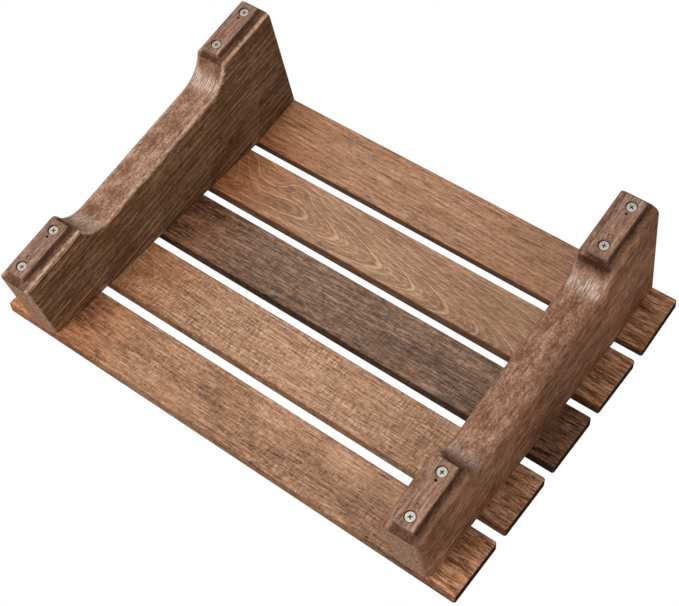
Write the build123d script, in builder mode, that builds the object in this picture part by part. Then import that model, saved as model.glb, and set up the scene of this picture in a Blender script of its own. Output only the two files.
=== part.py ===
"""Slatted sloping stand: five flat slats on two profiled legs, with a wooden pad under each foot.

Frame, in millimetres: the floor is Z = 0, +Z is up, X runs along the slats and Y from the low
front edge to the high back edge. The origin is on the floor under the middle of the stand.
"""
from build123d import *
from math import cos, radians, sin, tan
import os

os.makedirs("parts", exist_ok=True)

# ---- driving dimensions ----
slat_length = 412.0
slat_width = 50.0
slat_thickness = 9.0
slat_gap = 10.0
slat_edge = 1.0              # eased edges of both broad faces
slat_corner = 2.0            # corners of the slat seen from above
sloping_slats = 4            # the fifth slat, at the back, lies level

deck_slope = 10.8            # degrees, rising towards the back
front_height = 70.5          # floor to the underside of the deck, at the front end of a leg
back_gap = 9.1               # level distance between the last sloping slat and the level one

leg_thickness = 30.0
leg_centre = 170.0           # from the middle of the stand to each leg's middle plane
outer_roundover = 7.0        # along a leg's front end, feet and arch: edges on the outer side
inner_roundover = 4.0        # and on the side that faces the other leg

pad_length = 51.0
pad_width = 16.0
pad_height = 5.0             # how far a pad holds the foot off the floor
pad_edge = 0.4
pad_from_front = 6.0         # front end of a leg to the front pad
pad_from_back = 3.0          # back end of a foot to the back pad

foot_margin = 3.4            # inner end of a pad to the inner corner of its foot
back_lean = 1.3              # how much further back a leg ends at its foot than under the deck
arch_height = 24.5           # floor to the arch between the feet
arch_radius = 25.0           # sweep from the arch down to a foot

screw_diameter = 3.5         # over the thread
screw_core = 2.3
screw_head = 7.0
screw_rim = 0.3              # straight edge of the head
screw_pitch = 1.6
screw_point = 4.0
cross_width = 3.6            # cross recess, tip to tip
cross_bar = 0.9
cross_depth = 1.6
cross_taper = 12             # degrees
screw_turn = 37.0            # degrees from one screw's cross to the next one's

pad_screw_length = 22.0
pad_screw_spacing = 35.0
pad_screw_recess = 1.0       # head below the face of the pad
slat_screw_length = 30.0
slat_screw_inset = 11.0      # from a slat's long edge
slat_screw_recess = 0.3      # head below the face of the slat
hole_clearance = 0.1         # on the radius of every screw's and dowel's hole
hole_spare = 0.5             # depth past the end of a screw or dowel
counterbore_radius = 4.1     # for the head in a pad

dowel_diameter = 3.0         # locates a pad on its foot
dowel_length = 14.0
dowel_from_screw = 8.0       # behind the pad's front screw
pin_hole_radius = 0.9        # open hole, from the pin that held the pad for drilling
pin_hole_depth = 9.0
pin_hole_from_screw = 6.7    # in front of the pad's back screw

# ---- what follows from them ----
slope = radians(deck_slope)
slope_run = sloping_slats * slat_width + (sloping_slats - 1) * slat_gap
back_slat_start = slope_run * cos(slope) + back_gap
leg_depth = back_slat_start + slat_width
back_height = front_height + back_slat_start * tan(slope)
leg_front = (slat_thickness * sin(slope) - leg_depth - back_lean) / 2
leg_back = leg_front + leg_depth

pad_middles = {
    "front": leg_front + pad_from_front + pad_length / 2,
    "back": leg_back + back_lean - pad_from_back - pad_length / 2,
}
leg_middles = {"left": -leg_centre, "right": leg_centre}
front_foot_corner = pad_middles["front"] + pad_length / 2 + foot_margin
back_foot_corner = pad_middles["back"] - pad_length / 2 - foot_margin
arch_run = (arch_radius**2 - (arch_radius - arch_height + pad_height) ** 2) ** 0.5
screw_radius = screw_diameter / 2
head_height = screw_rim + screw_head / 2 - screw_radius


def slat_plane(number):
    """The plane that a slat lies on: origin under the slat's middle, X along it, Z out of it."""
    if number > sloping_slats:
        middle = (0, leg_front + back_slat_start + slat_width / 2, back_height)
        return Plane(origin=middle, x_dir=(1, 0, 0), z_dir=(0, 0, 1))
    along = (number - 1) * (slat_width + slat_gap) + slat_width / 2
    middle = (0, leg_front + along * cos(slope), front_height + along * sin(slope))
    return Plane(origin=middle, x_dir=(1, 0, 0), z_dir=(0, -sin(slope), cos(slope)))


def screw_pair(x):
    """Places of the two screws that hold a slat to the leg at x, on the slat's own plane."""
    inset = slat_width / 2 - slat_screw_inset
    return [(x, -inset), (x, inset)]


def foot_plane(side, end, height):
    """Plane across a foot with its Z towards the floor, X across the pad and Y to the front."""
    middle = (leg_middles[side], pad_middles[end], height)
    return Plane(origin=middle, x_dir=(1, 0, 0), z_dir=(0, 0, -1))


def make_screw(length, cross_turn):
    """Countersunk wood screw that hangs from the origin, head's flat at Z = 0.

    Its thread is plain rings. The cross in its head is turned by cross_turn degrees.
    """
    core = screw_core / 2
    thread_start = head_height + screw_pitch
    rings = int((length - screw_point - thread_start) / screw_pitch)
    with BuildPart() as screw:
        with BuildSketch(Plane.XZ):
            with BuildLine():
                outline = [(0, 0), (screw_head / 2, 0), (screw_head / 2, -screw_rim)]
                outline += [(screw_radius, -head_height), (core, -thread_start)]
                for ring in range(rings):
                    start = thread_start + ring * screw_pitch
                    outline += [(screw_radius, -start - screw_pitch / 2)]
                    outline += [(core, -start - screw_pitch)]
                outline += [(core, screw_point - length), (0, -length)]
                Polyline(*outline, close=True)
            make_face()
        revolve(axis=Axis.Z)
        with BuildSketch(Plane.XY):
            Rectangle(cross_width, cross_bar, rotation=cross_turn)
            Rectangle(cross_bar, cross_width, rotation=cross_turn)
        extrude(amount=-cross_depth, taper=cross_taper, mode=Mode.SUBTRACT)
    return screw.part


# ---- slats, with countersunk holes for the screws that hold them to the legs ----
slat_names = ["slat_1_front", "slat_2", "slat_3", "slat_4", "slat_5_back"]
for number, name in enumerate(slat_names, start=1):
    under = slat_plane(number)
    top = under.offset(slat_thickness)
    with BuildPart() as slat:
        with BuildSketch(under):
            RectangleRounded(slat_length, slat_width, slat_corner)
        extrude(amount=slat_thickness)
        broad_faces = slat.faces().filter_by(Axis((0, 0, 0), under.z_dir))
        fillet(broad_faces.edges(), slat_edge)
        with Locations(top.offset(-slat_screw_recess)):
            with Locations(*screw_pair(-leg_centre), *screw_pair(leg_centre)):
                CounterSinkHole(
                    radius=screw_radius + hole_clearance,
                    counter_sink_radius=screw_head / 2 + screw_rim + hole_clearance,
                    depth=slat_thickness,
                    counter_sink_angle=90,
                )
    slat.part.label = name
    export_step(slat.part, f"parts/{name}.step")

# ---- slat screws, a pair where each slat crosses each leg ----
for number in range(1, len(slat_names) + 1):
    slat_screw = make_screw(slat_screw_length, number * screw_turn)
    heads = slat_plane(number).offset(slat_thickness - slat_screw_recess)
    for side, x in leg_middles.items():
        with BuildPart() as screws:
            with Locations(heads):
                with Locations(*screw_pair(x)):
                    add(slat_screw)
        screws.part.label = f"slat_{number}_screws_{side}"
        export_step(screws.part, f"parts/{screws.part.label}.step")

# ---- legs ----
for side, x in leg_middles.items():
    with BuildPart() as leg:
        with BuildSketch(Plane.YZ.offset(x - leg_thickness / 2)):
            with BuildLine():
                Polyline(
                    (front_foot_corner, pad_height),
                    (leg_front, pad_height),
                    (leg_front, front_height),
                    (leg_front + back_slat_start, back_height),
                    (leg_back, back_height),
                    (leg_back + back_lean, pad_height),
                    (back_foot_corner, pad_height),
                )
                back_arch = (back_foot_corner - arch_run, arch_height)
                front_arch = (front_foot_corner + arch_run, arch_height)
                TangentArc(back_arch, (back_foot_corner, pad_height), tangent=(1, 0))
                TangentArc(front_arch, (front_foot_corner, pad_height), tangent=(-1, 0))
                Line(back_arch, front_arch)
            make_face()
        extrude(amount=leg_thickness)
        for towards_middle, radius in ((False, outer_roundover), (True, inner_roundover)):
            sides = leg.faces().filter_by(Axis.X).sort_by(Axis.X, reverse=(x > 0) != towards_middle)
            outline = sides[0].edges().filter_by(lambda e: e.center().Z < front_height)
            fillet(outline.filter_by(lambda e: e.center().Y < leg_back), radius)
        for number in range(1, len(slat_names) + 1):
            with Locations(slat_plane(number)):
                with Locations(*screw_pair(x)):
                    Hole(
                        radius=screw_radius + hole_clearance,
                        depth=slat_screw_length - slat_thickness + slat_screw_recess + hole_spare,
                    )
        for end in pad_middles:
            with Locations(foot_plane(side, end, pad_height)):
                with GridLocations(0, pad_screw_spacing, 1, 2):
                    Hole(
                        radius=screw_radius + hole_clearance,
                        depth=pad_screw_length + pad_screw_recess - pad_height + hole_spare,
                    )
                with Locations((0, pad_screw_spacing / 2 - dowel_from_screw)):
                    Hole(
                        radius=dowel_diameter / 2 + hole_clearance,
                        depth=dowel_length - pad_height + hole_spare,
                    )
                with Locations((0, pin_hole_from_screw - pad_screw_spacing / 2)):
                    Hole(radius=pin_hole_radius, depth=pin_hole_depth - pad_height)
    leg.part.label = f"leg_{side}"
    export_step(leg.part, f"parts/{leg.part.label}.step")

# ---- foot pads, each with two screws and a dowel ----
screws_made = 0
for side in leg_middles:
    for end in pad_middles:
        face = foot_plane(side, end, 0)
        foot = f"{end}_{side}"
        with BuildPart() as pad:
            with BuildSketch(face):
                Rectangle(pad_width, pad_length)
            extrude(amount=-pad_height)
            chamfer(pad.edges(), pad_edge)
            with Locations(face.offset(-pad_screw_recess)):
                with GridLocations(0, pad_screw_spacing, 1, 2):
                    CounterSinkHole(
                        radius=screw_radius + hole_clearance,
                        counter_sink_radius=screw_head / 2 + screw_rim + hole_clearance,
                        depth=pad_height,
                        counter_sink_angle=90,
                    )
            with Locations(face):
                with GridLocations(0, pad_screw_spacing, 1, 2):
                    Hole(radius=counterbore_radius, depth=pad_screw_recess)
                with Locations((0, pad_screw_spacing / 2 - dowel_from_screw)):
                    Hole(radius=dowel_diameter / 2 + hole_clearance)
                with Locations((0, pin_hole_from_screw - pad_screw_spacing / 2)):
                    Hole(radius=pin_hole_radius)
        pad.part.label = f"foot_pad_{foot}"
        export_step(pad.part, f"parts/{pad.part.label}.step")

        for screw_end, y in (("front", pad_screw_spacing / 2), ("back", -pad_screw_spacing / 2)):
            screws_made += 1
            pad_screw = make_screw(pad_screw_length, screws_made * screw_turn)
            with BuildPart() as screw:
                with Locations(face.offset(-pad_screw_recess)):
                    with Locations((0, y)):
                        add(pad_screw)
            screw.part.label = f"pad_screw_{foot}_{screw_end}"
            export_step(screw.part, f"parts/{screw.part.label}.step")

        with BuildPart() as dowel:
            with BuildSketch(face):
                with Locations((0, pad_screw_spacing / 2 - dowel_from_screw)):
                    Circle(dowel_diameter / 2)
            extrude(amount=-dowel_length)
            chamfer(dowel.edges(), pad_edge / 2)
        dowel.part.label = f"pad_dowel_{foot}"
        export_step(dowel.part, f"parts/{dowel.part.label}.step")
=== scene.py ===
"""Looks of the slatted wooden stand: camera, light, floor and a procedural material for each kind of piece.

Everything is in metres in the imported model's own frame: the floor is Z = 0, X runs along the slats and
Y from the low front edge to the high back edge. The camera looks up at the underside of the stand.
Inside a material, places are in millimetres: along a board's grain, across it and deep through it.
"""
from math import radians

import bpy
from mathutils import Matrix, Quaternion, Vector


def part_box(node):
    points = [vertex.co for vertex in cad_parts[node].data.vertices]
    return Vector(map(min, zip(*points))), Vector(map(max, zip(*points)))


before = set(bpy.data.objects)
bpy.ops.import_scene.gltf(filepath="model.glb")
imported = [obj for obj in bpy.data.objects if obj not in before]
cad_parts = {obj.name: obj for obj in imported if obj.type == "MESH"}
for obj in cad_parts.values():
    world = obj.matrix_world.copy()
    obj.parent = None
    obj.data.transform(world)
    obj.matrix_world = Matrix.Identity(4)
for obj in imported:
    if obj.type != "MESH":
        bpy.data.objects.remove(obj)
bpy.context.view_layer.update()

MM = 0.001

# ---- driving values ----
camera_place = Vector((-0.4141, -0.31275, -0.8308))
camera_aim = Vector((-0.0180, -0.00905, 0.0600))
camera_roll = radians(161.64)       # the stand is upside down in the picture
camera_lens = 74.9                  # mm
camera_sensor = 36.0                # mm
camera_shift = (-0.0043, -0.0019)

deck_slope = radians(10.8)
leg_grain_tilt = radians(2.0)       # of a leg's grain to the floor
slat_turn = (deck_slope, 0.0, 0.0)
level_turn = (0.0, 0.0, 0.0)
leg_turn = (leg_grain_tilt, 0.0, radians(90))
pad_turn = (0.0, 0.0, radians(90))

# Noises: cycles for each mm along, across and deep, octaves, roughness and, for one that is made into
# patches, the values where a patch starts and where it is full. The last two are for zinc.
patterns = {
    "wander": ((0.008, 0.04, 0.04), 1.0, 0.5),                      # the grain's long bends
    "drift": ((0.03, 0.14, 0.14), 2.0, 0.5),                        # and its short ones
    "years": ((0.09, 0.0, 0.0), 1.0, 0.5),                          # wide and narrow rings
    "fading": ((0.02, 0.22, 0.22), 2.0, 0.5),                       # where the rings' lines are lost
    "streak": ((0.014, 0.42, 0.42), 3.0, 0.6),                      # long streaks of the grain
    "fibre": ((0.05, 0.75, 0.75), 3.0, 0.8, 0.28, 0.72),
    "pore": ((0.14, 1.0, 1.0), 2.0, 0.6, 0.53, 0.64),
    "hatch": ((0.26, 0.65, 0.65), 2.0, 0.8),                        # short dashes
    "cross": ((0.75, 0.12, 0.12), 3.0, 0.7),                        # ripples across the grain
    "crossed": ((0.03, 0.09, 0.09), 1.0, 0.5, 0.25, 0.6),           # where there are ripples
    "blotch": ((0.014, 0.04, 0.04), 3.0, 0.5),
    "mottle": ((0.10, 0.15, 0.15), 4.0, 0.65),
    "hue": ((0.02, 0.06, 0.06), 2.0, 0.5, 0.35, 0.68),              # where a board is tinted
    "flame": ((0.045, 0.5, 0.5), 3.0, 0.7, 0.5, 0.62),              # stain soaked in from an end
    "pale_streak": ((0.05, 0.45, 0.45), 4.0, 0.8, 0.50, 0.58),
    "dark_streak": ((0.04, 0.38, 0.38), 4.0, 0.8, 0.50, 0.42),
    "worn": ((0.06, 0.10, 0.10), 5.0, 0.68),                        # of a leg's underside
    "worn_grain": ((0.12, 0.6, 0.6), 3.0, 0.8),
    "scrub": ((0.5, 0.6, 0.6), 3.0, 0.8),
    "chip": ((0.25, 0.5, 0.5), 4.0, 0.8, 0.38, 0.62),               # of a leg's rounded edges
    "crack": ((0.03, 0.3, 0.3), 4.0, 0.75, 0.56, 0.64),
    # the next noise breaks the painted highlight on a leg's sweeps into streaks
    "highlight_streaks": ((0.12, 1.1, 0.12), 3.0, 0.7, 0.42, 0.62),           # of a leg's sweeps
    "speck": ((0.5, 0.9, 0.35), 4.0, 0.75),                         # of sawn ends
    "cloud": ((0.6, 0.6, 0.6), 3.0, 0.5),
    "grain": ((6.0, 6.0, 6.0), 2.0, 0.5),
}
noise_middle = 0.5
seed_steps = (137.0, 71.0, 53.0)    # mm from one board's piece of noise to the next one's
bent_steps = (91.0, 17.0, 29.0)     # the same for the noises that follow the bent grain

# Where a look starts and where it is full, by how squarely a surface faces along the grain (ends,
# sweeps) or across it (edges and, on a leg, its sides): 0 is not at all and 1 is squarely.
facings = {
    "end": (0.6, 0.92),
    "edge": (0.45, 0.95),
    "brink_in": (0.12, 0.35),
    "brink_out": (0.85, 0.6),
    "underside": (0.93, 0.55),
    "side": (0.6, 0.95),
    "corner_in": (0.15, 0.45),
    "corner_out": (0.92, 0.66),
    # the next facing: where the painted shade in a sweep's corner lies
    "painted_crease_facing": (0.72, 0.94),
    # the next two: where the painted highlight on a sweep lies
    "hump_in": (0.12, 0.42),
    "hump_out": (0.82, 0.55),
}

# The same in mm from a board's middle
spans = {
    "soaked": (100.0, 185.0),       # towards both ends of a slat
    "painted_bounce": (70.0, 165.0),          # painted warm bounce light and shade, towards the slats' end at +X
    "overhang": (-172.0, -190.0),   # past the leg at -X
    "towards_deck": (0.0, 45.0),         # up a leg's sides to the deck
    # the next span: where the painted shadow beside a foot's pad starts and is full
    "beside_pad": (11.5, 9.0),
    "sweep": (120.0, 112.0),        # away from a leg's ends
    "leg_end": (120.0, 126.0),
    # the next span: where a sweep's painted highlight goes from its front strength to its full one
    "back_sweep": (-60.0, 60.0),
}

# How much of each stain and painted shade is laid on, from 0 to 1
shares = {"streaks": 0.8, "brink_shade": 0.7, "side": 0.6, "beside_pad": 0.9}
front_painted_highlight = 0.45                  # painted highlight of a front sweep, as a share of the back one's
dark_streak_tint = (0.5, 0.42, 0.36)
side_tint = (0.55, 0.5, 0.46)
# the next width is that of the soft edge of the painted shade round each hole
bore_blur = 0.3                     # mm

drift_share = 0.25                  # of the grain's drift to its wander
ring_sway = 0.6                     # of the sway, in how far a ring is from the heart
fibre_sway = 0.5                    # of the sway, in the fibres
knot_stretch = 2.0                  # of a knot's length to its width
line_widths = 2.2                   # a ring's line starts this many of its widths before the ring ends
between_lines = 4.0                 # fainter lines in a ring
between_in, between_out = (0.5, 0.8), (1.0, 0.8)

# Parts of the tone whose average is taken off it, and the shares of noises in the other sums
tone_parts = ("season", "streak", "fibre", "blotch", "mottle", "hatch")
worn_parts = {"worn": 1.0, "worn_grain": 0.9, "scrub": 1.1}
base_rough = -0.25                  # added to a look's roughness
rough_parts = {"mottle": 0.30, "fibre": 0.20, "pore": 0.1}
height_parts = {"fibre": 0.45, "pore": -0.35, "streak": 0.3}
under_rough, worn_rough, end_rough = -0.28, 0.12, 0.35
worn_height, scrub_height = 1.0, 0.3


# ---- node trees ----
class Tree:
    """A material's nodes, written as calls that take sockets or plain values and return a socket."""

    def __init__(self, name):
        self.material = bpy.data.materials.new(name)
        self.material.use_nodes = True
        self.nodes = self.material.node_tree.nodes
        self.links = self.material.node_tree.links
        self.shader = self.nodes["Principled BSDF"]

    def put(self, socket, value):
        if isinstance(value, bpy.types.NodeSocket):
            self.links.new(value, socket)
        else:
            socket.default_value = value

    def node(self, kind, inputs=(), **settings):
        made = self.nodes.new(kind)
        for name, value in settings.items():
            setattr(made, name, value)
        for name, value in dict(inputs).items():
            self.put(made.inputs[name], value)
        return made

    def math(self, operation, *values):
        made = self.node("ShaderNodeMath", operation=operation)
        for socket, value in zip(made.inputs, values):
            self.put(socket, value)
        return made.outputs[0]

    def product(self, first, *rest):
        result = first
        for value in rest:
            result = self.math("MULTIPLY", result, value)
        return result

    def total(self, start, *terms):
        """start plus each term's socket times its weight."""
        result = start
        for socket, weight in terms:
            result = self.math("MULTIPLY_ADD", socket, weight, result)
        return result

    def vector(self, operation, *values):
        made = self.node("ShaderNodeVectorMath", operation=operation)
        for socket, value in zip(made.inputs, values):
            self.put(socket, value)
        return made.outputs[0]

    def split(self, vector):
        made = self.node("ShaderNodeSeparateXYZ", {"Vector": vector})
        return made.outputs[0], made.outputs[1], made.outputs[2]

    def join(self, x, y, z):
        return self.node("ShaderNodeCombineXYZ", {"X": x, "Y": y, "Z": z}).outputs[0]

    def place(self, origin, turn):
        """Millimetres from origin, along axes that turn (Euler angles) has turned."""
        seen = self.node("ShaderNodeTexCoord").outputs["Object"]
        values = {"Vector": seen, "Location": origin, "Rotation": turn, "Scale": (MM, MM, MM)}
        return self.node("ShaderNodeMapping", values, vector_type="TEXTURE").outputs[0]

    def band(self, value, low, high):
        """0 below low and 1 above high, with a smooth step between; low may be the higher."""
        values = {"Value": value, "From Min": low, "From Max": high}
        made = self.node("ShaderNodeMapRange", values, interpolation_type="SMOOTHSTEP")
        return made.outputs["Result"]

    def pattern(self, place, name):
        """One of the patterns, as noise from 0 to 1 or made into patches."""
        cycles, octaves, roughness, *patch = patterns[name]
        values = {
            "Vector": self.vector("MULTIPLY", place, cycles),
            "Scale": 1.0,
            "Detail": octaves,
            "Roughness": roughness,
        }
        value = self.node("ShaderNodeTexNoise", values).outputs["Fac"]
        return self.band(value, *patch) if patch else value

    def ramp(self, value, stops):
        """The colour at value on a ramp whose stops are positions and linear colours."""
        made = self.node("ShaderNodeValToRGB", {"Fac": value})
        elements = made.color_ramp.elements
        while len(elements) < len(stops):
            elements.new(0.5)
        for element, (position, colour) in zip(elements, stops):
            element.position = position
            element.color = (*colour, 1.0)
        return made.outputs["Color"]

    def mix(self, share, first, second, blend="MIX"):
        """From the colour first, where share is 0, to second, where it is 1."""
        made = self.node("ShaderNodeMix", data_type="RGBA", blend_type=blend)
        colours = [socket for socket in made.inputs if socket.type == "RGBA"]
        self.put(made.inputs["Factor"], share)
        for socket, value in zip(colours, (first, second)):
            self.put(socket, value if isinstance(value, bpy.types.NodeSocket) else (*value, 1.0))
        return next(socket for socket in made.outputs if socket.type == "RGBA")

    def stain(self, colour, tint, share, *rest):
        """colour, multiplied by tint where the product of the shares is 1."""
        return self.mix(self.product(share, *rest), colour, tint, blend="MULTIPLY")

    def cover(self, colour, over, share, *rest):
        """colour, replaced by over where the product of the shares is 1."""
        return self.mix(self.product(share, *rest), colour, over)

    def bump(self, height, depth):
        """Bump for a height from 0 to 1 that stands depth metres tall."""
        values = {"Height": height, "Distance": depth, "Strength": 1.0}
        return self.node("ShaderNodeBump", values).outputs["Normal"]


def linear(red, green, blue):
    """A colour given as 0 to 255 on screen, as the linear values that shaders take."""
    return tuple(((value / 255 + 0.055) / 1.055) ** 2.4 for value in (red, green, blue))


# ---- wood ----
class Board:
    """What a board's material is worked out from. The grain runs along the first axis of turn."""

    def __init__(self, name, origin, turn, look):
        tree = Tree(name)
        place = tree.place(origin, turn)
        seed, sway = look["seed"], look["sway"]
        self.tree, self.look = tree, look
        self.along, self.across, self.deep = tree.split(place)
        self.from_middle = tree.math("ABSOLUTE", self.along)

        # each board has its own piece of every noise, straight, or bent with the grain that wanders
        self.apart = tree.vector("ADD", place, tuple(seed * step for step in seed_steps))
        wander = tree.pattern(self.apart, "wander")
        drift = tree.pattern(self.apart, "drift")
        start = -noise_middle * (1.0 + drift_share) * sway
        self.sway = tree.total(start, (wander, sway), (drift, drift_share * sway))
        bent_across = tree.math("MULTIPLY_ADD", self.sway, fibre_sway, self.across)
        bent = tree.join(self.along, bent_across, self.deep)
        self.bent = tree.vector("ADD", bent, tuple(seed * step for step in bent_steps))

        # the turned normal says which face of the board this is
        normal = tree.node("ShaderNodeNewGeometry").outputs["Normal"]
        values = {"Vector": normal, "Rotation": turn}
        turned = tree.node("ShaderNodeMapping", values, vector_type="TEXTURE").outputs[0]
        along_normal, across_normal, _ = tree.split(turned)
        self.end_facing = tree.math("ABSOLUTE", along_normal)
        self.edge_facing = tree.math("ABSOLUTE", across_normal)

    def facing_end(self, name):
        return self.tree.band(self.end_facing, *facings[name])

    def facing_edge(self, name):
        return self.tree.band(self.edge_facing, *facings[name])

    def gap_to(self, along, across):
        """Vector to here from that place on the board's broad face."""
        here = self.tree.join(self.along, self.across, 0.0)
        return self.tree.vector("SUBTRACT", here, (along, across, 0.0))


def growth_rings(board):
    """How far each point is from one ring to the next, and the thin lines that the rings draw."""
    tree, look = board.tree, board.look
    heart = tree.total(look["heart"], (board.along, look["heart_turn"]))
    side = tree.math("ADD", tree.math("SUBTRACT", board.across, heart), board.sway)
    depth = tree.total(look["heart_depth"], (board.deep, 1.0))
    squares = ((tree.product(side, side), look["ring_squeeze"] ** 2), (tree.product(depth, depth), 1.0))
    far = tree.math("SQRT", tree.total(0.0, *squares))
    far = tree.total(far, (board.along, look["taper"]), (board.sway, ring_sway))
    for along, across, radius, height in look["knots"]:
        reach = (1.0 / (knot_stretch * radius), 1.0 / radius, 0.0)
        gap = tree.vector("MULTIPLY", board.gap_to(along, across), reach)
        dot = tree.node("ShaderNodeVectorMath", {0: gap, 1: gap}, operation="DOT_PRODUCT")
        swell = tree.math("EXPONENT", tree.product(dot.outputs["Value"], -1.0))
        far = tree.total(far, (swell, height))
    uneven = tree.pattern(tree.join(far, 0.0, 0.0), "years")
    far = tree.total(far, (uneven, look["uneven_years"]))

    ring = tree.math("FRACT", tree.math("DIVIDE", far, look["ring"]))
    crest = 1.0 - look["ring_line"]
    rise = tree.band(ring, 1.0 - line_widths * look["ring_line"], crest)
    thin = tree.product(rise, tree.band(ring, 1.0, crest))
    step = tree.math("FRACT", tree.math("DIVIDE", far, look["ring"] / between_lines))
    between = tree.product(tree.band(step, *between_in), tree.band(step, *between_out))
    fading = tree.band(tree.pattern(board.apart, "fading"), *look["fading"])
    line = tree.total(tree.product(thin, fading), (tree.product(between, fading), look["between"]))
    return ring, line


def slat_stain_and_painted_light(board, colour):
    """Painted warm bounce light and shade towards +X; darker, redder and streaky past the leg at -X; and
    painted shade along the eased edges.
    """
    tree, look = board.tree, board.look
    # painted warm bounce light and shade towards the leg at +X
    painted_bounce = tree.band(board.along, *spans["painted_bounce"])
    colour = tree.stain(colour, look["painted_bounce_tint"], painted_bounce, look["painted_bounce"])
    overhang = tree.band(board.along, *spans["overhang"])
    colour = tree.stain(colour, look["overhang_tint"], overhang)
    pale = tree.pattern(board.bent, "pale_streak")
    colour = tree.cover(colour, look["pale_streak"], overhang, pale, shares["streaks"])
    dark = tree.pattern(board.bent, "dark_streak")
    colour = tree.stain(colour, dark_streak_tint, overhang, dark, shares["streaks"])
    # painted shade in a thin line along the eased edges
    brink_shade = tree.product(board.facing_edge("brink_in"), board.facing_edge("brink_out"))
    return tree.stain(colour, look["brink_shade_tint"], brink_shade, shares["brink_shade"])


def leg_wear_and_painted_light(board, colour):
    """The colour of a leg whose routed underside is smooth and blotchy, with worn colour and painted light
    at its rounded edges, painted shadow beside its pads, and painted shade and a painted highlight on its
    sweeps.

    Returns it with the underside's share and the two noises that roughen it.
    """
    tree, look = board.tree, board.look
    under = board.facing_edge("underside")
    worn = tree.pattern(board.apart, "worn")
    worn_grain = tree.pattern(board.bent, "worn_grain")
    scrub = tree.pattern(board.apart, "scrub")
    bare = tree.total(
        noise_middle - noise_middle * sum(worn_parts.values()),
        (worn, worn_parts["worn"]),
        (worn_grain, worn_parts["worn_grain"]),
        (scrub, worn_parts["scrub"]),
    )
    colour = tree.cover(colour, tree.ramp(bare, look["under_colours"]), under)

    # the sides darken towards the deck, and each foot gets a painted shadow round its pad
    towards_deck = tree.band(board.deep, *spans["towards_deck"])
    colour = tree.stain(colour, side_tint, towards_deck, board.facing_edge("side"), shares["side"])
    _, _, above_floor = tree.split(tree.place((0.0, 0.0, 0.0), level_turn))
    low = tree.band(above_floor, *look["foot_shade"])
    beside = tree.band(tree.math("ABSOLUTE", board.across), *spans["beside_pad"])
    colour = tree.stain(colour, look["pad_shadow"], low, beside, shares["beside_pad"])

    # the rounded edges are recoloured in chipped patches, partly wear and partly painted light: lighter on
    # the right leg, darker on the left
    corner = tree.product(board.facing_edge("corner_in"), board.facing_edge("corner_out"))
    chip = tree.pattern(board.apart, "chip")
    colour = tree.cover(colour, look["edge_wear_and_painted_light_colour"], corner, chip, look["edge_wear_and_painted_light"])
    crack = tree.pattern(board.bent, "crack")
    colour = tree.stain(colour, look["pad_shadow"], crack, look["crack"])

    # the sweeps up to the feet get painted shade at the corner, and a painted grey highlight half way down
    sweep = tree.product(under, tree.band(board.from_middle, *spans["sweep"]))
    colour = tree.stain(colour, look["pad_shadow"], sweep, board.facing_end("painted_crease_facing"), look["painted_crease_shade"])
    hump = tree.product(board.facing_end("hump_in"), board.facing_end("hump_out"))
    highlight_streaks = tree.pattern(board.apart, "highlight_streaks")
    at_back = tree.band(board.along, *spans["back_sweep"])
    strength = tree.total(front_painted_highlight, (at_back, 1.0 - front_painted_highlight))
    colour = tree.cover(colour, look["painted_highlight_colour"], sweep, hump, highlight_streaks, strength, look["painted_highlight"])
    return colour, under, worn, scrub


def wood_tone(board, noises):
    """From dark to light: the growth rings, the noises, and the ripples that cross the grain."""
    tree, look = board.tree, board.look
    ring, line = growth_rings(board)
    ripple = tree.math("SUBTRACT", tree.pattern(board.bent, "cross"), noise_middle)
    ripple = tree.product(ripple, tree.pattern(board.apart, "crossed"))
    tone = tree.total(
        look["tone"] - noise_middle * sum(look[part] for part in tone_parts),
        (line, look["line"]),
        (ring, look["season"]),
        (noises["streak"], look["streak"]),
        (noises["fibre"], look["fibre"]),
        (ripple, look["cross"]),
        (noises["blotch"], look["blotch"]),
        (noises["mottle"], look["mottle"]),
        (noises["pore"], -look["pore"]),
        (noises["hatch"], look["hatch"]),
    )
    if look["soak"]:
        # near both sawn ends the stain soaked in deeper, in flames along the grain
        near_end = tree.band(board.from_middle, *spans["soaked"])
        flames = tree.pattern(board.bent, "flame")
        tone = tree.total(tone, (tree.product(near_end, flames), -look["soak"]))
    return tone


def painted_bore_shade(board, colour):
    """Painted shade in each hole and just round it."""
    tree, look = board.tree, board.look
    for along, across, radius in look["bores"]:
        away = tree.node("ShaderNodeVectorMath", {0: board.gap_to(along, across)}, operation="LENGTH")
        inside = tree.band(away.outputs["Value"], radius + bore_blur, radius)
        colour = tree.stain(colour, look["bore_shade_tint"], inside)
    return colour


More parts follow.
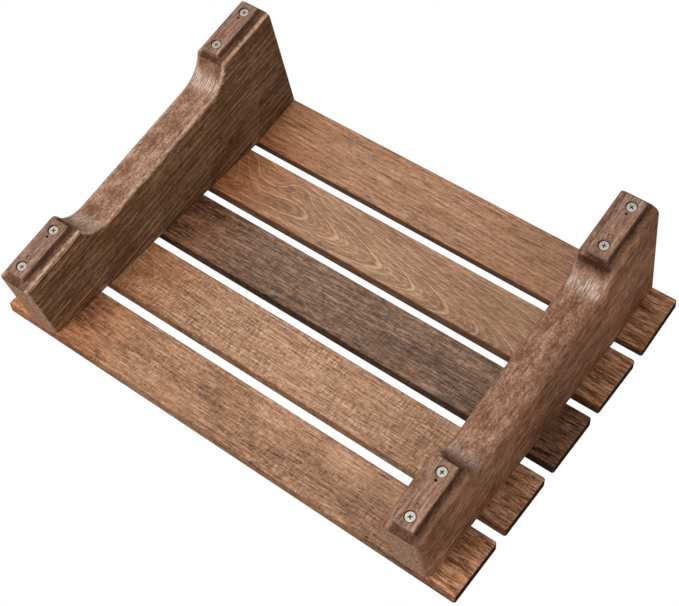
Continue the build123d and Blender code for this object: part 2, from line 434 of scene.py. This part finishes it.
def wood(name, origin, turn, look):
    """Stained wood whose grain runs along the first of the axes that turn gives, through origin."""
    board = Board(name, origin, turn, look)
    tree = board.tree
    noises = {part: tree.pattern(board.bent, part) for part in ("streak", "fibre", "pore", "hatch")}
    noises |= {part: tree.pattern(board.apart, part) for part in ("blotch", "mottle")}
    tone = wood_tone(board, noises)

    colour = tree.ramp(tone, look["colours"])
    colour = tree.stain(colour, look["tint"], tree.pattern(board.apart, "hue"), look["tint_share"])
    if look["soak"]:
        # a slat's stains, with painted warm light and shade towards +X and painted shade along its eased
        # edges
        colour = slat_stain_and_painted_light(board, colour)
    # the narrow sides are darker, partly by stain and partly by painted shade
    on_edge = board.facing_edge("edge")
    colour = tree.stain(colour, look["edge_stain_and_shade_tint"], on_edge, look["edge_stain_and_shade"])
    # painted shade in the holes of the pads
    colour = painted_bore_shade(board, colour)

    height = tree.total(0.0, *((noises[part], weight) for part, weight in height_parts.items()))
    height = tree.total(height, (noises["mottle"], look["dents"]))
    rough = tree.total(look["rough"] + base_rough,
                       *((noises[part], weight) for part, weight in rough_parts.items()))
    rough = tree.total(rough, (on_edge, look["edge_rough"]))
    on_end = board.facing_end("end")
    if look["routed"]:
        # a leg's wear, with painted light on its rounded edges, beside its pads and on its sweeps
        colour, under, worn, scrub = leg_wear_and_painted_light(board, colour)
        worn, scrub = tree.product(under, worn), tree.product(under, scrub)
        rough = tree.total(rough, (under, under_rough), (worn, worn_rough))
        height = tree.total(height, (worn, worn_height), (scrub, scrub_height))
        on_end = tree.product(on_end, tree.band(board.from_middle, *spans["leg_end"]))

    speck = tree.pattern(board.apart, "speck")
    colour = tree.cover(colour, tree.ramp(speck, look["end_colours"]), on_end)
    rough = tree.total(rough, (on_end, end_rough))
    tree.put(tree.shader.inputs["Base Color"], colour)
    tree.put(tree.shader.inputs["Normal"], tree.bump(height, look["relief"]))
    tree.put(tree.shader.inputs["Roughness"], rough)
    tree.shader.inputs["Specular IOR Level"].default_value = look["gloss"]
    return tree.material


def use(node, material):
    """Gives a CAD node that material alone."""
    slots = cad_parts[node].data.materials
    slots.clear()
    slots.append(material)


def middle(node):
    low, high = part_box(node)
    return tuple((low + high) / 2)


def shades(dark, half, light, where=0.5):
    """Stops of a ramp from dark to light, each as on screen, with half at where."""
    return [(0.0, linear(*dark)), (where, linear(*half)), (1.0, linear(*light))]


plain_look = {
    "sway": 3.0,            # mm that the grain wanders to the side
    "heart": 0.0,           # mm from the board's middle line to its heart line
    "heart_depth": 40.0,    # mm from the board's middle to the heart line
    "heart_turn": 0.0,      # mm that the heart line moves across for each mm along
    "taper": 0.03,          # mm that the trunk narrows for each mm along
    "ring": 4.0,            # mm from ring to ring
    "ring_squeeze": 1.0,    # of a ring, across to deep
    "ring_line": 0.12,      # share of a ring that its dark or light line takes
    "uneven_years": 3.0,    # mm
    "fading": (0.34, 0.6),  # values of that noise where a ring's line is gone and where it is full
    "knots": (),            # along, across, radius and height of each, in mm
    "line": 0.12,           # strength of a ring's line; dark if below 0
    "between": 0.25,        # strength of the fainter lines from one ring to the next
    "season": 0.10,         # strengths of the other parts of the tone, down to hatch
    "streak": 0.7,
    "fibre": 0.7,
    "cross": 0.0,
    "blotch": 0.5,
    "mottle": 0.2,
    "pore": 0.2,
    "hatch": 0.8,
    "tone": 0.55,           # the middle of the tone, from dark at 0 to light at 1
    "tint": (1.0, 0.86, 0.76),  # what the colour is multiplied by in patches
    "tint_share": 0.6,
    "soak": 0.35,           # how much a slat's ends darken; 0 is for a board that isn't a slat
    "painted_bounce": 0.7,            # how much painted warm bounce light and shade a slat gets towards +X
    # the next tint is that of the painted warm bounce light and shade
    "painted_bounce_tint": (1.12, 0.80, 0.55),
    "overhang_tint": (0.92, 0.76, 0.64),
    "pale_streak": linear(206, 156, 122),
    # the next colour is that of the painted shade along a slat's eased edges
    "brink_shade_tint": (0.42, 0.34, 0.28),
    "edge_stain_and_shade": 1.0,      # how much the narrow sides darken, by stain and by painted shade
    "edge_stain_and_shade_tint": (0.42, 0.36, 0.32),
    "edge_rough": 0.3,
    "end_colours": [(0.3, linear(22, 13, 8)), (0.7, linear(66, 42, 28))],
    "bores": (),            # along, across and radius of each hole, in mm
    # the next colour is that of the painted shade in the holes
    "bore_shade_tint": (0.22, 0.17, 0.14),
    "routed": False,        # True on a leg, whose underside is routed round
    "relief": 0.0004,       # m
    "dents": 0.2,           # share of the mottle in the relief
    "rough": 0.58,
    "gloss": 0.2,           # specular level
}

slat_looks = {
    "slat_1_front": {
        "seed": 1.3, "heart": 60.0, "heart_depth": 30.0, "ring": 3.4, "line": -0.12, "tone": 0.53,
        "streak": 0.5, "fibre": 0.5, "cross": 1.0, "pore": 0.18, "blotch": 0.9, "hatch": 0.9, "soak": 0.2,
        "tint": (0.94, 0.88, 0.80), "edge_stain_and_shade_tint": (0.75, 0.7, 0.66),
        "colours": shades((62, 40, 26), (148, 110, 84), (200, 160, 130)),
    },
    "slat_2": {
        "seed": 2.7, "heart": 90.0, "heart_depth": 25.0, "taper": 0.02, "ring": 3.0, "line": -0.05,
        "streak": 0.3, "fibre": 0.5, "cross": 1.4, "blotch": 0.3, "hatch": 0.9, "soak": 0.15, "tone": 0.53,
        "tint": (0.94, 0.90, 0.84), "edge_stain_and_shade_tint": (0.6, 0.52, 0.46), "overhang_tint": (1.0, 0.9, 0.84),
        "colours": shades((78, 54, 36), (152, 114, 88), (206, 172, 140)),
    },
    "slat_3": {
        "seed": 3.1, "heart": -70.0, "heart_depth": 60.0, "taper": 0.06, "ring": 5.0, "line": 0.16,
        "streak": 0.35, "fibre": 0.55, "cross": 0.8, "pore": 0.25, "blotch": 0.7, "mottle": 0.5,
        "soak": 0.6, "tone": 0.52, "tint": (0.94, 0.92, 0.88), "edge_stain_and_shade_tint": (0.28, 0.22, 0.18),
        "pale_streak": linear(122, 90, 68),
        "colours": shades((42, 28, 20), (106, 79, 62), (164, 130, 106)),
    },
    "slat_4": {
        "seed": 4.9, "heart": -12.5, "heart_turn": 0.085, "heart_depth": 28.0, "taper": -0.155, "sway": 2.2,
        "ring": 5.3, "ring_squeeze": 1.33, "ring_line": 0.10, "uneven_years": 5.0, "fading": (0.0, 0.35),
        "knots": ((128.0, 6.0, 16.0, 12.0), (92.0, 16.0, 9.0, -7.0)),
        "line": 0.38, "between": 0.4, "season": -0.18, "streak": 0.3, "fibre": 0.45, "pore": 0.1,
        "blotch": 0.35, "hatch": 0.55, "soak": 0.1, "tone": 0.5, "painted_bounce": 1.0,
        "tint": (0.90, 0.90, 0.84), "edge_stain_and_shade_tint": (0.32, 0.27, 0.23),
        "colours": shades((76, 50, 32), (138, 101, 76), (196, 158, 128)),
    },
    "slat_5_back": {
        "seed": 5.5, "heart": 80.0, "heart_depth": 60.0, "taper": 0.04, "ring": 3.2, "ring_line": 0.16,
        "fading": (0.3, 0.5), "line": -0.30, "season": 0.12, "streak": 0.5, "fibre": 0.45,
        "blotch": 0.35, "hatch": 0.6, "soak": 0.25, "edge_stain_and_shade_tint": (0.28, 0.22, 0.18),
        "colours": shades((78, 48, 30), (150, 112, 85), (198, 158, 128)),
    },
}
for node, changes in slat_looks.items():
    turn = level_turn if node == "slat_5_back" else slat_turn
    use(node, wood(f"wood_{node}", middle(node), turn, {**plain_look, **changes}))

leg_look = {
    **plain_look,
    "sway": 0.8, "heart": 12.0, "heart_depth": 95.0, "taper": 0.006,
    "ring": 6.5, "ring_line": 0.08, "uneven_years": 6.0, "fading": (0.40, 0.62),
    "mottle": 0.15, "blotch": 0.35, "soak": 0.0, "edge_stain_and_shade": 0.0, "edge_rough": 0.0,
    "routed": True,
    "foot_shade": (8.0, 5.5),       # mm above the floor: where the painted shadow beside a pad starts and is full
    # the next colour is that of the painted shadow beside the pads, of the painted shade in the sweeps'
    # corners, and of the cracks
    "pad_shadow": (0.36, 0.29, 0.25),
    "painted_crease_shade": 0.8,                    # how dark the painted shade in the sweeps' corners is
    "crack": 0.3,                   # how dark the cracks are
    # the next colour is that of the painted highlight on the sweeps
    "painted_highlight_colour": linear(206, 186, 172),
    "edge_wear_and_painted_light": 0.7,                     # how much worn colour and painted light the rounded edges get
    "edge_wear_and_painted_light_colour": linear(206, 172, 148),
    "rough": 0.6, "gloss": 0.18, "relief": 0.00035,
    "end_colours": [(0.36, linear(100, 69, 50)), (0.64, linear(188, 147, 118))],
}
leg_looks = {
    "leg_left": {
        "seed": 7.3, "tint": (1.0, 0.90, 0.84), "tint_share": 0.9, "tone": 0.62, "line": 0.08,
        "streak": 0.6, "fibre": 0.3, "blotch": 0.8, "mottle": 1.1, "pore": 0.1, "painted_highlight": 0.6,
        "edge_wear_and_painted_light_colour": linear(112, 82, 64), "foot_shade": (12.5, 7.5), "crack": 0.7,
        "colours": shades((58, 32, 20), (122, 82, 58), (186, 138, 108)),
        "under_colours": shades((50, 33, 24), (116, 81, 61), (188, 150, 128), where=0.45),
    },
    "leg_right": {
        "seed": 8.1, "tint": (1.0, 0.85, 0.77), "tone": 0.53, "line": 0.38,
        "streak": 0.4, "fibre": 0.35, "pore": 0.3, "hatch": 0.45, "painted_crease_shade": 0.25, "painted_highlight": 0.8,
        "colours": shades((38, 24, 14), (108, 76, 52), (196, 160, 128)),
        "under_colours": shades((54, 36, 27), (123, 88, 67), (206, 168, 144), where=0.45),
    },
}
for node, changes in leg_looks.items():
    use(node, wood(f"wood_{node}", middle(node), leg_turn, {**leg_look, **changes}))

# holes in a pad, in mm from its middle towards the front or back of the stand, and their radii
pad_screw_out, counterbore_radius = 17.5, 4.15
dowel_along, dowel_radius = -9.5, 1.7
pin_along, pin_radius = 10.8, 1.0

pad_look = {
    **plain_look,
    "heart": 30.0, "heart_depth": 30.0, "ring": 2.5, "line": 0.1, "streak": 0.5, "fibre": 0.4,
    "soak": 0.0, "tone": 0.48, "edge_stain_and_shade_tint": (0.66, 0.58, 0.52), "rough": 0.65,
    "bores": (
        (pad_screw_out, 0.0, counterbore_radius),
        (-pad_screw_out, 0.0, counterbore_radius),
        (dowel_along, 0.0, dowel_radius),
        (pin_along, 0.0, pin_radius),
    ),
    "end_colours": [(0.3, linear(96, 72, 58)), (0.7, linear(158, 124, 104))],
    "colours": shades((66, 46, 36), (134, 104, 88), (186, 156, 138)),
}
pad_seeds = {"front_left": 28.0, "front_right": 29.0, "back_left": 27.0, "back_right": 28.0}
dowel_seed_step = 1.0
for foot, seed in pad_seeds.items():
    for node, node_seed in ((f"foot_pad_{foot}", seed), (f"pad_dowel_{foot}", seed + dowel_seed_step)):
        use(node, wood(f"wood_{node}", middle(node), pad_turn, {**pad_look, "seed": node_seed}))


# ---- zinc-plated screws ----
zinc_colours = [(0.0, linear(178, 172, 160)), (1.0, linear(240, 234, 222))]
zinc_contrast = {"cloud": 0.8, "grain": 0.4}
zinc_metallic = 0.6
zinc_rough, cloud_rough = 0.35, 0.2
zinc_relief = 0.00003               # m
# painted shade deep in the crosses of the pads' screws
recess_shade_tint = (0.25, 0.22, 0.19)
recess_shade_height = (1.03, 1.3)           # mm above the floor: where the painted shade deep in the pad screws' crosses starts and is full


def zinc(name, shaded_recess=False):
    """Dull zinc plate; if the flag is set, with painted shade deep in the crosses of the pads' screws."""
    tree = Tree(name)
    place = tree.place((0.0, 0.0, 0.0), level_turn)
    noises = {part: tree.pattern(place, part) for part in zinc_contrast}
    parts = ((tree.math("SUBTRACT", noises[part], noise_middle), zinc_contrast[part]) for part in noises)
    colour = tree.ramp(tree.total(0.5, *parts), zinc_colours)
    if shaded_recess:
        # painted shade deep in the crosses
        _, _, height = tree.split(place)
        colour = tree.stain(colour, recess_shade_tint, tree.band(height, *recess_shade_height))
    tree.put(tree.shader.inputs["Base Color"], colour)
    tree.shader.inputs["Metallic"].default_value = zinc_metallic
    tree.put(tree.shader.inputs["Roughness"], tree.total(zinc_rough, (noises["cloud"], cloud_rough)))
    tree.put(tree.shader.inputs["Normal"], tree.bump(noises["grain"], zinc_relief))
    return tree.material


zinc_foot = zinc("zinc_foot", shaded_recess=True)
zinc_deck = zinc("zinc_deck")
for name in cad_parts:
    if "screw" in name:
        use(name, zinc_foot if name.startswith("pad") else zinc_deck)

# ---- floor: seen from above only, so that the camera below it sees the stand's underside ----
floor_reach = 4.0
floor_grey = (0.86, 0.86, 0.86, 1.0)
glow_grey = (0.9, 0.9, 0.9, 1.0)
glow_share = 0.45
floor_fade = (330.0, 1100.0)        # mm from the middle: where the floor starts to fade and is gone

mesh = bpy.data.meshes.new("floor")
corners = [(-1, -1), (1, -1), (1, 1), (-1, 1)]
corners = [(x * floor_reach, y * floor_reach, 0.0) for x, y in corners]
mesh.from_pydata(corners, [], [(0, 1, 2, 3)])
floor = bpy.data.objects.new("floor", mesh)
bpy.context.scene.collection.objects.link(floor)
floor.visible_shadow = False
floor.visible_diffuse = False
floor.visible_glossy = False
tree = Tree("pale_floor")
pale = tree.node("ShaderNodeBsdfDiffuse", {"Color": floor_grey})
clear = tree.node("ShaderNodeBsdfTransparent")
glow = tree.node("ShaderNodeEmission", {"Color": glow_grey, "Strength": 1.0})
lit = tree.node("ShaderNodeMixShader", {0: glow_share, 1: pale.outputs[0], 2: glow.outputs[0]})
behind = tree.node("ShaderNodeNewGeometry").outputs["Backfacing"]
out_x, out_y, _ = tree.split(tree.place((0.0, 0.0, 0.0), level_turn))
out = tree.math("SQRT", tree.math("ADD", tree.product(out_x, out_x), tree.product(out_y, out_y)))
gone = tree.math("MAXIMUM", behind, tree.band(out, *floor_fade))
either = tree.node("ShaderNodeMixShader", {0: gone, 1: lit.outputs[0], 2: clear.outputs[0]})
tree.links.new(either.outputs[0], tree.nodes["Material Output"].inputs["Surface"])
mesh.materials.append(tree.material)


# ---- light ----
lamp_aim = Vector((0.0, 0.0, 0.06))


def lamp(name, place, size, power):
    """A square soft light of that size in metres and power in watts at place, turned to the stand."""
    data = bpy.data.lights.new(name, "AREA")
    data.size = size
    data.energy = power
    made = bpy.data.objects.new(name, data)
    made.location = place
    made.rotation_mode = "QUATERNION"
    made.rotation_quaternion = (lamp_aim - Vector(place)).to_track_quat("-Z", "Y")
    bpy.context.scene.collection.objects.link(made)
    return made


lamp("key_below", place=(0.35, -0.95, -1.4), size=0.9, power=36.0)
lamp("low_back", place=(0.7, 1.55, -0.4), size=0.7, power=16.0)
fill_left = lamp("fill_left", place=(-1.35, -0.35, -1.15), size=1.0, power=16.0)
key_above = lamp("key_above", place=(-0.25, -0.35, 1.9), size=1.4, power=34.0)
fill_left.visible_glossy = False
key_above.visible_glossy = False

# the world is white to the camera, and lights the stand as a soft grey
world_grey = (0.16, 0.16, 0.16, 1.0)
world_white = (1.0, 1.0, 1.0, 1.0)
world = bpy.data.worlds.new("studio")
world.use_nodes = True
bpy.context.scene.world = world
nodes, links = world.node_tree.nodes, world.node_tree.links
background = nodes["Background"]
background.inputs["Color"].default_value = world_grey
white = nodes.new("ShaderNodeBackground")
white.inputs["Color"].default_value = world_white
ray = nodes.new("ShaderNodeLightPath")
chosen = nodes.new("ShaderNodeMixShader")
links.new(ray.outputs["Is Camera Ray"], chosen.inputs[0])
links.new(background.outputs[0], chosen.inputs[1])
links.new(white.outputs[0], chosen.inputs[2])
links.new(chosen.outputs[0], nodes["World Output"].inputs["Surface"])

# ---- camera ----
data = bpy.data.cameras.new("camera")
data.sensor_width = camera_sensor
data.lens = camera_lens
data.shift_x, data.shift_y = camera_shift
camera = bpy.data.objects.new("camera", data)
camera.location = camera_place
camera.rotation_mode = "QUATERNION"
level = (camera_aim - camera_place).to_track_quat("-Z", "Y")
camera.rotation_quaternion = level @ Quaternion((0.0, 0.0, 1.0), camera_roll)
bpy.context.scene.collection.objects.link(camera)
bpy.context.scene.camera = camera
bpy.context.scene.view_settings.view_transform = "Standard"
